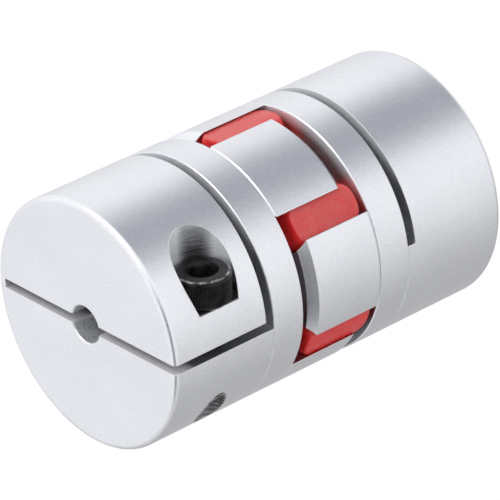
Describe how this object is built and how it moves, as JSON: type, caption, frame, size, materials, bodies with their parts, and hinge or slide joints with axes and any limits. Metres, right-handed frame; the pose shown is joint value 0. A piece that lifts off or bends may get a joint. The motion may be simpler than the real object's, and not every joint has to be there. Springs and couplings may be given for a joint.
{
  "type": "jaw coupling",
  "caption": "Jaw coupling that joins shafts in line: slit clamping hubs with interlocking jaws, a petal-shaped elastomer spider between them and socket head screws that close the bores.",
  "frame": {"origin": "centre of the rear bore in the rear hub's end face, which the coupling stands on", "axes": "+Z along the shafts towards the front hub's end face, +X towards the front hub's clamp screw, +Y towards the half that it clamps"},
  "size_m": [0.0415, 0.04, 0.066],
  "materials": {
    "hub_aluminium": "turned and satin anodised",
    "spider_polyurethane": "matte moulded polyurethane",
    "screw_black_oxide": "black oxide, oiled"
  },
  "bodies": {
    "root": {"front_hub": "hub_aluminium", "rear_hub": "hub_aluminium", "spider": "spider_polyurethane", "front_clamp_screw": "screw_black_oxide", "rear_clamp_screw": "screw_black_oxide"}
  },
  "joints": []
}
